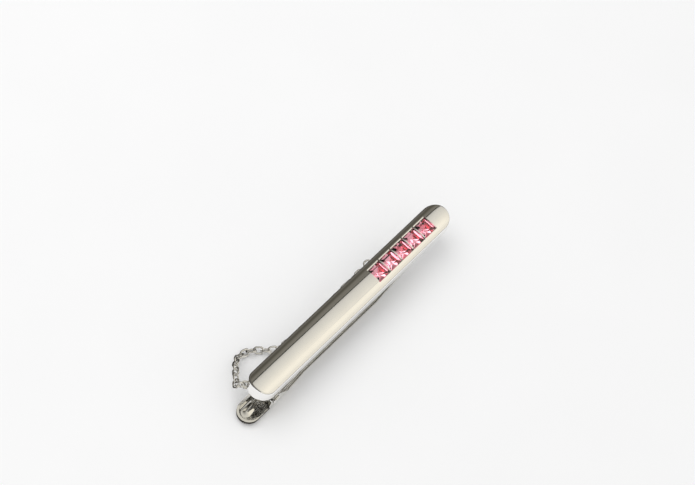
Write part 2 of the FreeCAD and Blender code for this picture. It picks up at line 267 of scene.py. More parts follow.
def bevel(width: float, segments: int) -> None:
    """Rounds the edges that are selected in edit mode."""
    bpy.ops.mesh.bevel(offset=width, segments=segments, profile=ROUND, affect="EDGES")


def cut_across(place: float) -> None:
    """Cuts a whole piece in edit mode by a plane across X."""
    pick_all()
    bpy.ops.mesh.bisect(plane_co=(place, 0, 0), plane_no=(1, 0, 0), threshold=MERGE)


def cut_level(height: float) -> None:
    """Cuts a whole piece in edit mode by a level plane."""
    pick_all()
    bpy.ops.mesh.bisect(plane_co=(0, 0, height), plane_no=(0, 0, 1), threshold=MERGE)


def apply_modifier(piece: bpy.types.Object, kind: str, **settings: object) -> None:
    """Adds a modifier to a piece and applies it.

    Args:
        piece: Object to change.
        kind: Modifier type.
        settings: Values of the modifier.
    """
    make_active(piece)
    modifier = piece.modifiers.new(kind.title(), kind)
    for name, value in settings.items():
        setattr(modifier, name, value)
    bpy.ops.object.modifier_apply(modifier=modifier.name)


def break_edges(piece: bpy.types.Object, width: float, segments: int, edge_deg: float) -> None:
    """Rounds every real edge of a piece.

    Args:
        piece: Object to change.
        width: Width of the rounding.
        segments: Steps in it.
        edge_deg: Edges that turn by less than this are left.
    """
    limit = math.radians(edge_deg)
    apply_modifier(piece, "BEVEL", width=width, segments=segments, limit_method="ANGLE", angle_limit=limit)


def clean_shell(piece: bpy.types.Object, smooth_deg: float) -> None:
    """Merges doubles, turns the faces outwards and smooths all but the real edges.

    Args:
        piece: Closed mesh.
        smooth_deg: Edges that turn by more than this stay sharp.
    """
    edit(piece)
    pick_all()
    bpy.ops.mesh.remove_doubles(threshold=MERGE)
    bpy.ops.mesh.normals_make_consistent(inside=False)
    done()
    make_active(piece)
    apply_placement()
    bpy.ops.object.shade_smooth_by_angle(angle=math.radians(smooth_deg))


@dataclass(frozen=True)
class SoftEdges:
    """Way of breaking the edges of a node that is otherwise right as it is."""

    width: float
    segments: int = 3
    edge_deg: float = 40.0
    smooth_deg: float = 35.0

    def copy(self, node: str, name: str) -> bpy.types.Object:
        """Copies a node of the frame with its edges broken.

        Args:
            node: Node to copy.
            name: Name of the new piece.

        Returns:
            New object with its own mesh.
        """
        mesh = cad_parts[node].data.copy()
        mesh.name = name
        piece = add_object(name, mesh)
        edit(piece)
        pick_all()
        bpy.ops.mesh.remove_doubles(threshold=MERGE)
        bpy.ops.mesh.dissolve_limited(angle_limit=math.radians(FLAT_DEG))
        done()
        break_edges(piece, self.width, self.segments, self.edge_deg)
        clean_shell(piece, self.smooth_deg)
        return piece


def set_inputs(node: bpy.types.Node, inputs: Inputs) -> None:
    """Sets up inputs of a node.

    Args:
        node: Node in a tree.
        inputs: Sockets to link from and values to set, by the input's name or place.
    """
    for name, value in inputs.items():
        if isinstance(value, bpy.types.NodeSocket):
            node.id_data.links.new(value, node.inputs[name])
        else:
            node.inputs[name].default_value = value


def add_node(tree: bpy.types.NodeTree, kind: str, inputs: Inputs, **settings: object) -> bpy.types.Node:
    """Adds a shader node.

    Args:
        tree: Node tree to add to.
        kind: Node type, without its first word.
        inputs: Sockets to link from and values to set, by the input's name or place.
        settings: Values of the node itself.

    Returns:
        New node.
    """
    node = tree.nodes.new(f"ShaderNode{kind}")
    for name, value in settings.items():
        setattr(node, name, value)
    set_inputs(node, inputs)
    return node


def shade(tree: bpy.types.NodeTree, value: bpy.types.NodeSocket, tones: Tones) -> bpy.types.NodeSocket:
    """Turns a value into a colour by steps.

    Args:
        tree: Node tree to add to.
        value: Value from 0 to 1.
        tones: Places from 0 to 1 with their colours, in order.

    Returns:
        Colour at the value.
    """
    ramp = add_node(tree, "ValToRGB", {"Fac": value})
    steps = ramp.color_ramp.elements
    for end in (0, -1):
        place, colour = tones[end]
        steps[end].position = place
        steps[end].color = (*colour, 1)
    for place, colour in tones[1:-1]:
        steps.new(place).color = (*colour, 1)
    return ramp.outputs["Color"]


class NodeSheet:
    """Node tree of one material, with short calls for the nodes that the finishes use."""

    def __init__(self, name: str) -> None:
        """Starts a material with its shader.

        Args:
            name: Material name.
        """
        self.material = bpy.data.materials.new(name)
        self.material.use_nodes = True
        self.tree = self.material.node_tree
        self.shader = self.tree.nodes["Principled BSDF"]
        self.place = add_node(self.tree, "TexCoord", {}).outputs["Object"]

    def noise(self, scale: tuple[float, float, float], detail: float) -> bpy.types.NodeSocket:
        """Adds noise on the piece's own coordinates.

        Args:
            scale: Waves per metre along X, Y and Z.
            detail: Octaves.

        Returns:
            Noise value, from 0 to 1.
        """
        place = add_node(self.tree, "Mapping", {"Vector": self.place, "Scale": scale}).outputs["Vector"]
        noise = add_node(self.tree, "TexNoise", {"Vector": place, "Scale": 1, "Detail": detail})
        return noise.outputs["Fac"]

    def ranged(self, value: bpy.types.NodeSocket, low: float, high: float) -> bpy.types.NodeSocket:
        """Spreads the middle of a noise value over a new range.

        Args:
            value: Noise value.
            low: Result at the low end.
            high: Result at the high end.

        Returns:
            Value from low to high.
        """
        taken = {"Value": value, "From Min": NOISE_LOW, "From Max": NOISE_HIGH}
        spread = add_node(self.tree, "MapRange", {**taken, "To Min": low, "To Max": high})
        return spread.outputs["Result"]

    def tinted(self, value: bpy.types.NodeSocket, low: Colour, high: Colour) -> bpy.types.NodeSocket:
        """Turns the middle of a noise value into a colour between two."""
        return shade(self.tree, value, ((NOISE_LOW, low), (NOISE_HIGH, high)))

    def bump(self, value: bpy.types.NodeSocket, strength: float, depth: float) -> bpy.types.NodeSocket:
        """Raises the surface by a noise value, to a share of a depth."""
        bump = add_node(self.tree, "Bump", {"Height": value, "Strength": strength, "Distance": depth})
        return bump.outputs["Normal"]


class Finish(ABC):
    """Look of a surface."""

    @abstractmethod
    def material(self) -> bpy.types.Material:
        """Makes the material."""

    def cover(self, *pieces: bpy.types.Object) -> None:
        """Gives pieces this finish as their one material.

        Args:
            pieces: Objects to cover.
        """
        material = self.material()
        for piece in pieces:
            piece.data.materials.clear()
            piece.data.materials.append(material)


@dataclass(frozen=True)
class MetalFinish(Finish):
    """Polished or pressed metal with faint handling marks along one direction."""

    name: str
    light: Colour
    dull: Colour
    roughness: tuple[float, float]
    marks_per_metre: tuple[float, float, float]
    bump: float
    bump_depth: float = 0.01 * MM
    mark_octaves: int = 3
    tarnish_per_metre: float = 260.0
    tarnish_octaves: int = 2

    def material(self) -> bpy.types.Material:
        """Makes the metal.

        Returns:
            Material with tone, roughness and bump from noise.
        """
        sheet = NodeSheet(self.name)
        marks = sheet.noise(self.marks_per_metre, self.mark_octaves)
        tarnish = sheet.noise((self.tarnish_per_metre,) * 3, self.tarnish_octaves)
        set_inputs(sheet.shader, {
            "Metallic": 1,
            "Base Color": sheet.tinted(tarnish, self.dull, self.light),
            "Roughness": sheet.ranged(marks, *self.roughness),
            "Normal": sheet.bump(marks, self.bump, self.bump_depth),
        })
        return sheet.material


@dataclass(frozen=True)
class CrystalFinish(Finish):
    """Clear faceted crystal, tinted all through."""

    name: str
    deep: Colour
    pale: Colour
    refraction: float
    clearness: float = 1.0
    roughness: tuple[float, float] = (0.0, 0.03)
    clouds_per_metre: float = 700.0
    cloud_octaves: int = 1
    marks_per_metre: float = 9000.0
    mark_octaves: int = 2

    def material(self) -> bpy.types.Material:
        """Makes the crystal.

        Returns:
            Material with a faint cloud in its tint and a few polish marks.
        """
        sheet = NodeSheet(self.name)
        cloud = sheet.noise((self.clouds_per_metre,) * 3, self.cloud_octaves)
        marks = sheet.noise((self.marks_per_metre,) * 3, self.mark_octaves)
        set_inputs(sheet.shader, {
            "Base Color": sheet.tinted(cloud, self.deep, self.pale),
            "Roughness": sheet.ranged(marks, *self.roughness),
            "Transmission Weight": self.clearness,
            "IOR": self.refraction,
        })
        return sheet.material


@dataclass(frozen=True)
class PaperFinish(Finish):
    """Matt paper with a faint mottle."""

    name: str
    white: float
    mottle: float = 0.01
    mottles_per_metre: float = 40.0
    mottle_octaves: int = 2
    roughness: float = 0.9
    shine: float = 0.1

    def material(self) -> bpy.types.Material:
        """Makes the paper.

        Returns:
            Material with hardly any shine.
        """
        sheet = NodeSheet(self.name)
        mottle = sheet.noise((self.mottles_per_metre,) * 3, self.mottle_octaves)
        set_inputs(sheet.shader, {
            "Base Color": sheet.tinted(mottle, (self.white - self.mottle,) * 3, (self.white,) * 3),
            "Roughness": self.roughness,
            "Specular IOR Level": self.shine,
        })
        return sheet.material


POLISHED_SILVER = MetalFinish(
    "polished_silver",
    light=(0.95, 0.94, 0.925),
    dull=(0.92, 0.91, 0.895),
    roughness=(0.06, 0.10),
    marks_per_metre=(900, 6000, 6000),
    bump=0.012,
)
PRESSED_STEEL = MetalFinish(
    "pressed_steel",
    light=(0.86, 0.85, 0.82),
    dull=(0.78, 0.77, 0.74),
    roughness=(0.05, 0.10),
    marks_per_metre=(1500, 5000, 5000),
    bump=0.015,
)
HINGE_METAL = MetalFinish(
    "hinge_metal",
    light=(0.84, 0.83, 0.80),
    dull=(0.72, 0.71, 0.69),
    roughness=(0.16, 0.30),
    marks_per_metre=(3000, 3000, 3000),
    bump=0.12,
)
SPRING_WIRE = MetalFinish(
    "spring_wire",
    light=(0.62, 0.62, 0.63),
    dull=(0.50, 0.50, 0.51),
    roughness=(0.18, 0.32),
    marks_per_metre=(4000, 4000, 4000),
    bump=0.10,
)
CHAIN_WIRE = MetalFinish(
    "chain_wire",
    light=(0.93, 0.92, 0.90),
    dull=(0.84, 0.83, 0.81),
    roughness=(0.08, 0.16),
    marks_per_metre=(4000, 4000, 4000),
    bump=0.05,
)
PINK_CRYSTAL = CrystalFinish(
    "pink_crystal", deep=(0.98, 0.36, 0.445), pale=(0.99, 0.475, 0.555), refraction=1.65
)
FLOOR_PAPER = PaperFinish("floor_paper", white=0.9)


class SubAssembly(ABC):
    """Pieces of one finish that ride on one body."""

    finish: ClassVar[Finish]
    body: ClassVar[Body]
    slot: ClassVar[Slot]

    @abstractmethod
    def build(self) -> Pieces:
        """Models the pieces and lists them by the nodes that they stand for."""

    def dress(self, pieces: Pieces) -> None:
        """Gives the pieces their finish and seats each one in place of its node.

        Args:
            pieces: Finished meshes by the nodes that they stand for.
        """
        self.finish.cover(*pieces.values())
        for node, piece in pieces.items():
            self.ride(piece)
            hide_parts(node)
            log.info("%s: %d faces, stands for %s", piece.name, len(piece.data.polygons), node)

    def ride(self, piece: bpy.types.Object) -> None:
        """Puts a piece on the body that it moves with."""
        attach(piece, self.body.value)


@dataclass
class DomedBar(SubAssembly):
    """Long domed bar with round ends and a row of pockets for the stones."""

    finish = POLISHED_SILVER
    body = Body.BAR
    slot = Slot.BAR
    dome_rise: float = 0.9 * MM
    edge_round: float = 0.3 * MM
    edge_segments: int = 8
    wall_height: float = 2.1 * MM
    end_lean: float = 0.4 * MM
    foot_round: float = 0.08 * MM
    foot_segments: int = 3
    foot_cut: float = 0.16 * MM
    rim_cut: float = 0.45 * MM
    rim_width: float = 0.35 * MM
    pocket_play: float = 0.03 * MM
    pocket_bevel: float = 0.07 * MM
    pocket_segments: int = 2
    row_bevel: float = 0.22 * MM
    row_segments: int = 1
    mouth_width: float = 0.3 * MM
    mouth_slack: float = 0.004 * MM
    girdle: float = 0.62 * MM
    ridge_width: float = 0.02 * MM
    roll_length: float = 2.4 * MM
    roll_drop: float = 0.22 * MM
    roll_step: float = 0.3 * MM
    roll_cuts: int = 7
    seat_shares: tuple[float, float] = (0.5, 0.62)
    point_share: float = 0.02
    end_sides: int = 72
    rings_to_mouth: int = 6
    rings_to_ridge: int = 10
    smooth_deg: float = 32.0

    # Upright shares of a face's normal that tell the bar's faces from its walls
    rim_tilt: float = 0.4
    mouth_tilt: float = 0.5
    wall_tilt: float = 0.2
    dome_tilt: float = 0.8

    def __post_init__(self) -> None:
        """Takes the bar's and the stones' places from the frame."""
        self.low, self.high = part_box("top_bar")
        self.half = (self.high.y - self.low.y) / 2
        self.first = self.low.x + self.half
        self.last = self.high.x - self.half
        self.stones = [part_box(name) for name in nodes_with("stone_")]
        self.pocket_half = (self.stones[0][1].y - self.stones[0][0].y) / 2 + self.pocket_play

    def inside(self, place: Vector) -> float:
        """Says how far a point lies inside the bar's outline."""
        past = max(self.first - place.x, place.x - self.last, 0)
        return self.half - math.hypot(past, place.y)

    def dome(self, place: Vector) -> float:
        """Gives the height of the domed face.

        Args:
            place: Point on the bar.

        Returns:
            Height, with the face rolling down towards the far end.
        """
        radius = (self.half**2 + self.dome_rise**2) / (2 * self.dome_rise)
        rolled = max(0, place.x - self.high.x + self.roll_length) / self.roll_length
        return self.high.z - radius + math.sqrt(radius**2 - place.y**2) - self.roll_drop * rolled**2

    def drawn_in(self, place: Vector) -> float:
        """Gives the share of its reach that the hinge end keeps at the face, as its wall leans in."""
        return 1 - self.end_lean * (self.dome(place) - self.low.z) / self.wall_height / self.half

    def draw_face(self) -> bpy.types.Object:
        """Draws the face as rings inside its outline, down to a ridge line.

        Returns:
            Flat mesh, still in edit mode.
        """
        piece = add_ring("domed_bar", self.end_sides, self.half, (self.first, 0, self.high.z))
        pick(Element.POINT, lambda point: point.co.x > self.first)
        move(x=self.last - self.first)
        pick_all()
        bpy.ops.mesh.edge_face_add()
        inset(self.rim_width)
        to_mouth = self.half - self.pocket_half - self.rim_width - self.mouth_width
        inset(to_mouth / self.rings_to_mouth, self.rings_to_mouth)
        inset(self.mouth_width)
        to_ridge = self.pocket_half - self.ridge_width
        inset(to_ridge / self.rings_to_ridge, self.rings_to_ridge)
        # The innermost ring closes to a line, so that the rings hold no large face
        bpy.ops.mesh.delete(type="ONLY_FACE")
        ridge = self.half - 2 * self.ridge_width
        pick(Element.POINT, lambda point: self.inside(point.co) > ridge)
        resize(1, 0, 1, Vector((0, 0, self.high.z)))
        bpy.ops.mesh.remove_doubles(threshold=3 * self.ridge_width)
        return piece

    def raise_face(self, point: bmesh.types.BMVert) -> None:
        """Lifts a point of the flat face to the dome and draws the hinge end in.

        Args:
            point: Point to move.
        """
        point.co.z = self.dome(point.co)
        if point.co.x < self.first:
            point.co.x = self.first + (point.co.x - self.first) * self.drawn_in(point.co)

    def spread_foot(self, point: bmesh.types.BMVert) -> None:
        """Moves a selected point of the hinge end back out, to the foot of the leaning wall."""
        if point.select and point.co.x < self.first:
            point.co.x = self.first + (point.co.x - self.first) / self.drawn_in(point.co)

    def build(self) -> Pieces:
        """Models the bar.

        Returns:
            Closed mesh with rounded rim and stone pockets, by its node.
        """
        piece = self.draw_face()
        for low, high in self.stones:
            cut_across(low.x - self.pocket_play)
            cut_across(high.x + self.pocket_play)
        for step in range(self.roll_cuts):
            cut_across(self.last - (step + 1) * self.roll_step)
        reshape(self.raise_face)
        pick(Element.EDGE, lambda edge: edge.is_boundary)
        extrude(z=-self.dome_rise)
        resize(1, 1, 0, Vector((0, 0, self.low.z)))
        reshape(self.spread_foot)
        bpy.ops.mesh.edge_face_add()
        self.round_edges()
        for low, high in self.stones:
            self.sink_pocket(low, high)
        self.bevel_pockets()
        done()
        clean_shell(piece, self.smooth_deg)
        return {"top_bar": piece}

    def round_edges(self) -> None:
        """Rounds the rim of the face, breaks the lower edge and cuts the wall beside both."""
        middle = (self.low.z + self.high.z) / 2

        def on_rim(edge: bmesh.types.BMEdge) -> bool:
            """Says whether an edge runs between the face and the wall."""
            tilts = sorted(abs(face.normal.z) for face in edge.link_faces)
            return tilts[0] < self.rim_tilt < tilts[-1] and all(p.co.z > middle for p in edge.verts)

        def on_foot(edge: bmesh.types.BMEdge) -> bool:
            """Says whether an edge runs round the underside."""
            return all(p.co.z < self.low.z + MERGE for p in edge.verts)

        pick(Element.EDGE, on_rim)
        bevel(self.edge_round, self.edge_segments)
        pick(Element.EDGE, on_foot)
        bevel(self.foot_round, self.foot_segments)
        cut_level(self.low.z + self.foot_cut)
        cut_level(self.low.z + self.wall_height - self.rim_cut)

    def sink_pocket(self, low: Vector, high: Vector) -> None:
        """Sinks the pocket of one stone.

        Args:
            low: Lowest corner of the stone.
            high: Highest corner of the stone.
        """
        middle = (low + high) / 2
        seat = high.z - self.girdle - self.pocket_play
        reach = (high.x - low.x) / 2 + self.pocket_play
        share, depth_share = self.seat_shares
        depth = seat - low.z + self.pocket_play

        def in_mouth(face: bmesh.types.BMFace) -> bool:
            """Finds the faces of the dome over the stone.

            Args:
                face: Face of the bar.

            Returns:
                Whether it lies over the stone.
            """
            centre = face.calc_center_median()
            across = abs(centre.y) < self.pocket_half and abs(centre.x - middle.x) < reach
            return across and face.normal.z > self.mouth_tilt and centre.z > seat

        pick(Element.FACE, in_mouth)
        extrude(z=seat - high.z)
        resize(1, 1, 0, Vector((0, 0, seat)))
        extrude(z=-depth * depth_share)
        resize(share, share, 1, middle)
        extrude(z=-depth * (1 - depth_share))
        resize(self.point_share, self.point_share, 1, middle)

    def bevel_pockets(self) -> None:
        """Breaks the mouths of the pockets, wider along the row, so that they catch the light."""
        slack = self.mouth_slack
        start = self.stones[0][0].x - self.pocket_play - slack
        end = self.stones[-1][1].x + self.pocket_play + slack

        def on_mouth(edge: bmesh.types.BMEdge) -> bool:
            """Finds the edges between the domed face and the pockets' walls.

            Args:
                edge: Edge of the bar.

            Returns:
                Whether it lies on a mouth.
            """
            if len(edge.link_faces) != 2 or not all(start < p.co.x < end for p in edge.verts):
                return False
            lower, upper = sorted(face.normal.z for face in edge.link_faces)
            on_dome = all(abs(p.co.z - self.dome(p.co)) < slack for p in edge.verts)
            return on_dome and lower < self.wall_tilt and upper > self.dome_tilt

        def along_row(edge: bmesh.types.BMEdge) -> bool:
            """Says whether an edge of a mouth runs along the row."""
            return abs(edge.verts[0].co.x - edge.verts[1].co.x) > slack and on_mouth(edge)

        pick(Element.EDGE, along_row)
        bevel(self.row_bevel, self.row_segments)
        pick(Element.EDGE, on_mouth)
        bevel(self.pocket_bevel, self.pocket_segments)


@dataclass
class StoneRow(SubAssembly):
    """Square stones with a flat table, a plain crown and a pointed pavilion."""

    finish = PINK_CRYSTAL
    body = Body.BAR
    slot = Slot.STONE
    girdle: float = 0.12 * MM
    crown: float = 0.5 * MM
    table_share: float = 0.6
    table_shifts_mm: tuple[tuple[float, float], ...] = (
        (0.05, -0.04), (-0.06, 0.03), (0.02, 0.06), (-0.04, -0.05), (0.07, 0.02)
    )
    point_shifts_mm: tuple[tuple[float, float], ...] = (
        (-0.10, 0.06), (0.12, 0.03), (-0.05, -0.11), (0.08, 0.10), (-0.12, -0.04)
    )

    def __post_init__(self) -> None:
        """Takes the stones' places from the frame."""
        self.nodes = nodes_with("stone_")
        low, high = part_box(self.nodes[0])
        self.width = high.x - low.x
        self.pavilion = high.z - low.z - self.crown - self.girdle

    def pattern(self) -> bpy.types.Object:
        """Models one stone about the origin, with the lower edge of its girdle on Z = 0.

        Returns:
            Closed mesh with flat facets.
        """
        middle = Vector((0, 0, 0))
        deselect_all()
        bpy.ops.mesh.primitive_plane_add(size=self.width)
        piece = take_new("stone_pattern")
        edit(piece)
        pick_all()
        extrude(z=self.girdle)
        extrude(z=self.crown)
        resize(self.table_share, self.table_share, 1, middle)
        pick(Element.FACE, lambda face: all(abs(p.co.z) < MERGE for p in face.verts))
        extrude(z=-self.pavilion)
        resize(0, 0, 1, middle)
        done()
        clean_shell(piece, FLAT_DEG)
        return piece

    def cut_copy(self, pattern: bpy.types.Object, number: int) -> bpy.types.Mesh:
        """Copies the pattern with its table and its point a little off centre, as in cut stones.

        Args:
            pattern: Stone about the origin.
            number: Place in the row, from 0.

        Returns:
            New mesh.
        """
        mesh = pattern.data.copy()
        table = Vector((*self.table_shifts_mm[number], 0)) * MM
        point = Vector((*self.point_shifts_mm[number], 0)) * MM
        for corner in mesh.vertices:
            if corner.co.z > self.girdle + MERGE:
                corner.co += table
            elif corner.co.z < -MERGE:
                corner.co += point
        return mesh

    def build(self) -> Pieces:
        """Models a stone once and sets a copy in each pocket.

        Returns:
            Stones by their nodes.
        """
        pattern = self.pattern()
        pieces = {}
        for number, node in enumerate(self.nodes):
            low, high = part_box(node)
            mesh = self.cut_copy(pattern, number)
            place = Vector(((low.x + high.x) / 2, 0, high.z - self.crown - self.girdle))
            mesh.transform(Matrix.Translation(place))
            pieces[node] = add_object(f"cut_{node}", mesh)
        bpy.data.objects.remove(pattern)
        return pieces


@dataclass
class ClipJaw(SubAssembly):
    """Pressed sheet lever: dished tail with a crowned floor, hinge ears, low channel, ramp and teeth."""

    finish = PRESSED_STEEL
    body = Body.JAW
    slot = Slot.JAW
    sheet: float = 0.5 * MM
    tail_half: float = 2.35 * MM
    tail_rim: float = 1.5 * MM
    flange: float = 1.05 * MM
    ear_rear: float = 2.0 * MM
    ear_front: float = 4.0 * MM
    ear_radius: float = 1.5 * MM
    taper_end: float = 9.0 * MM
    front_half: float = 1.9 * MM
    ramp_length: float = 14.0 * MM
    tip_rise: float = 4.25 * MM
    tooth_pitch: float = 1.1 * MM
    tooth_depth: float = 0.5 * MM
    tooth_count: int = 4
    bend_round: float = 0.85 * MM
    bend_steps: int = 7
    crown_height: float = 0.3 * MM
    crown_aside: float = 0.3 * MM
    crown_reach: float = 1.1 * MM
    crown_full: float = -3.2 * MM
    crown_end: float = -1.6 * MM
    crown_ring: float = 0.16 * MM
    crown_rings: int = 6
    crown_inner_rings: int = 3
    pin_height: float = 3.2 * MM
    pin_hole: float = 0.63 * MM
    drill_length: float = 9.4 * MM
    drill_sides: int = 64
    edge_break: float = 0.2 * MM
    edge_segments: int = 5
    edge_deg: float = 50.0
    tail_sides: int = 40
    ear_steps: int = 18
    smooth_deg: float = 35.0

    # Shares of a face's normal along X and Y that tell the tip's front from the sides
    front_tilt: float = 0.2
    side_tilt: float = 0.9

    def __post_init__(self) -> None:
        """Takes the jaw's reach and its place across the bar from the frame."""
        self.low, self.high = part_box("clip_jaw")
        self.aside = (self.low.y + self.high.y) / 2
        self.tail_centre = self.low.x + self.tail_half
        self.tip = self.high.x
        self.ramp_start = self.tip - self.ramp_length

    def touch_points(self) -> tuple[Vector, Vector]:
        """Finds where the straight edges of the ears touch their round tops.

        Returns:
            Points (x, height) on the tail side and on the tip side.
        """
        found = []
        for x, z, side in ((-self.ear_rear, self.tail_rim, -1), (self.ear_front, self.flange, 1)):
            drop = z - self.pin_height
            turn = math.atan2(drop, x) + side * math.acos(self.ear_radius / math.hypot(x, drop))
            found.append(Vector((math.cos(turn), math.sin(turn))) * self.ear_radius)
        return found[0], found[1]

    def rim_heights(self) -> list[tuple[float, float]]:
        """Lists the edge's height at each station from the tail to the tip.

        Returns:
            Pairs of place along X and height.
        """
        rear, front = self.touch_points()
        stations = [(-self.ear_rear, self.tail_rim)]
        first = math.atan2(rear.y, rear.x)
        last = math.atan2(front.y, front.x)
        for step in range(self.ear_steps + 1):
            turn = first + (last - first) * step / self.ear_steps
            height = self.pin_height + self.ear_radius * math.sin(turn)
            stations.append((self.ear_radius * math.cos(turn), height))
        stations += [(self.ear_front, self.flange), (self.ramp_start, self.flange)]
        top = self.high.z
        for k in reversed(range(self.tooth_count)):
            valley = self.tip - (k + 1) * self.tooth_pitch
            stations.append((valley, top - self.tooth_depth))
            stations.append((valley + self.tooth_pitch / 2, top))
        stations.append((self.tip, top - self.tooth_depth))
        return stations

    def draw_outline(self) -> bpy.types.Object:
        """Draws the jaw's outline from above as one face at the height of its rim.

        Returns:
            Flat face, still in edit mode.
        """
        middle = (self.tail_centre, 0, self.flange)
        piece = add_ring("clip_jaw_pressing", self.tail_sides, self.tail_half, middle)
        pick(Element.POINT, lambda point: point.co.x > self.tail_centre)
        bpy.ops.mesh.delete(type="VERT")
        half_step = math.pi / (2 * self.tail_sides)
        last = self.tail_centre - 2 * self.tail_half * math.sin(half_step)
        pick(Element.POINT, lambda point: point.co.x > last)
        extrude(x=self.ear_front - self.tail_centre)
        extrude(x=self.taper_end - self.ear_front)
        resize(1, self.front_half / self.tail_half, 1, Vector((0, 0, 0)))
        extrude(x=self.tip - self.taper_end)
        pick_all()
        bpy.ops.mesh.edge_face_add()
        return piece

    def press_web(self) -> None:
        """Presses the selected outline down to the web through a round bend, and rings the web's edge."""
        extrude(z=self.bend_round - self.flange)
        turn = math.pi / 2 / self.bend_steps
        for step in range(self.bend_steps):
            inward = math.cos(step * turn) - math.cos((step + 1) * turn)
            down = math.sin((step + 1) * turn) - math.sin(step * turn)
            inset(inward * self.bend_round)
            move(z=-down * self.bend_round)
        inset(self.crown_ring, self.crown_rings)

    def build(self) -> Pieces:
        """Models the jaw as one pressed sheet.

        Returns:
            Closed mesh with pin holes and broken edges, by its node.
        """
        piece = self.draw_outline()
        self.press_web()
        pick(Element.FACE, lambda face: all(p.co.z > self.flange - MERGE for p in face.verts))
        bpy.ops.mesh.delete(type="ONLY_FACE")
        self.raise_rim()
        for x in (self.crown_full, (self.crown_full + self.crown_end) / 2):
            cut_across(x)
        self.ring_tail()
        reshape(self.bend_ramp)
        pick(Element.FACE, self.closes_tip)
        bpy.ops.mesh.delete(type="FACE")
        pick_all()
        bpy.ops.mesh.normals_make_consistent(inside=False)
        done()
        apply_modifier(piece, "SOLIDIFY", thickness=self.sheet, offset=-1, use_even_offset=True)
        edit(piece)
        reshape(self.crown_tail)
        done()
        self.drill_pin_hole(piece)
        break_edges(piece, self.edge_break, self.edge_segments, self.edge_deg)
        edit(piece)
        pick_all()
        move(y=self.aside)
        done()
        clean_shell(piece, self.smooth_deg)
        return {"clip_jaw": piece}

    def raise_rim(self) -> None:
        """Cuts the rim at its stations and lifts each one to its height."""
        places, heights = zip(*self.rim_heights())
        for x in places[:-1]:
            cut_across(x)

        def lift(point: bmesh.types.BMVert) -> None:
            """Lifts a point of the rim to the height between its stations."""
            if point.co.z > self.flange - MERGE:
                point.co.z = float(np.interp(point.co.x, places, heights))

        reshape(lift)

    def bend_ramp(self, point: bmesh.types.BMVert) -> None:
        """Lifts a point of the web's front, below the rim, so that it slopes up to the bar."""
        if point.co.x > self.ramp_start and point.co.z < self.flange - MERGE:
            point.co.z += (point.co.x - self.ramp_start) * (self.tip_rise / self.ramp_length)

    def closes_tip(self, face: bmesh.types.BMFace) -> bool:
        """Says whether a face closes the front of the tip, which is open."""
        past = all(p.co.x > self.tip - self.bend_round - MERGE for p in face.verts)
        return past and face.normal.x > self.front_tilt and abs(face.normal.y) < self.side_tilt

    def tail_reach(self, place: Vector, aside: float = 0) -> float:
        """Says how far a point of the tail lies from the tail's middle line."""
        return math.hypot(min(place.x - self.tail_centre, 0), place.y - aside)

    def ring_tail(self) -> None:
        """Adds rings to the middle of the tail's floor, so that it can be crowned."""
        inner = self.tail_half - self.bend_round - self.crown_rings * self.crown_ring

        def in_middle(face: bmesh.types.BMFace) -> bool:
            """Says whether a face lies inside the rings of the tail's floor."""
            centre = face.calc_center_median()
            return centre.z < MERGE and centre.x < self.crown_full and self.tail_reach(centre) < inner

        pick(Element.FACE, in_middle)
        inset(self.crown_ring, self.crown_inner_rings)

    def crown_tail(self, point: bmesh.types.BMVert) -> None:
        """Lifts a point of the tail's upper face to the crown, which fades out towards the hinge.

        Args:
            point: Point of the jaw.
        """
        reach = self.tail_reach(point.co, self.crown_aside) / self.crown_reach
        on_floor = abs(point.co.z - self.sheet) < MERGE and reach < 1
        if on_floor and point.co.x < self.crown_end:
            share = min(1, (self.crown_end - point.co.x) / (self.crown_end - self.crown_full))
            point.co.z += share * self.crown_height * (1 + math.cos(math.pi * reach)) / 2

    def drill_pin_hole(self, piece: bpy.types.Object) -> None:
        """Drills both ears for the pin.

        Args:
            piece: Jaw in object mode.
        """
        deselect_all()
        bpy.ops.mesh.primitive_cylinder_add(
            vertices=self.drill_sides,
            radius=self.pin_hole,
            depth=self.drill_length,
            location=(0, 0, self.pin_height),
            rotation=(math.pi / 2, 0, 0),
        )
        drill = take_new("pin_drill")
        apply_modifier(piece, "BOOLEAN", operation="DIFFERENCE", solver="EXACT", object=drill)
        bpy.data.objects.remove(drill)


@dataclass
class HingeSet(SubAssembly):
    """Bracket under the bar and the pin through its ears."""

    finish = HINGE_METAL
    body = Body.BAR
    slot = Slot.HINGE
    bracket_edges: SoftEdges = SoftEdges(0.08 * MM)
    pin_edges: SoftEdges = SoftEdges(0.06 * MM)

    def build(self) -> Pieces:
        """Breaks the edges of the bracket and the pin.

        Returns:
            Both pieces by their nodes.
        """
        return {
            "hinge_bracket": self.bracket_edges.copy("hinge_bracket", "hinge_bracket_pressing"),
            "hinge_pin": self.pin_edges.copy("hinge_pin", "riveted_pin"),
        }


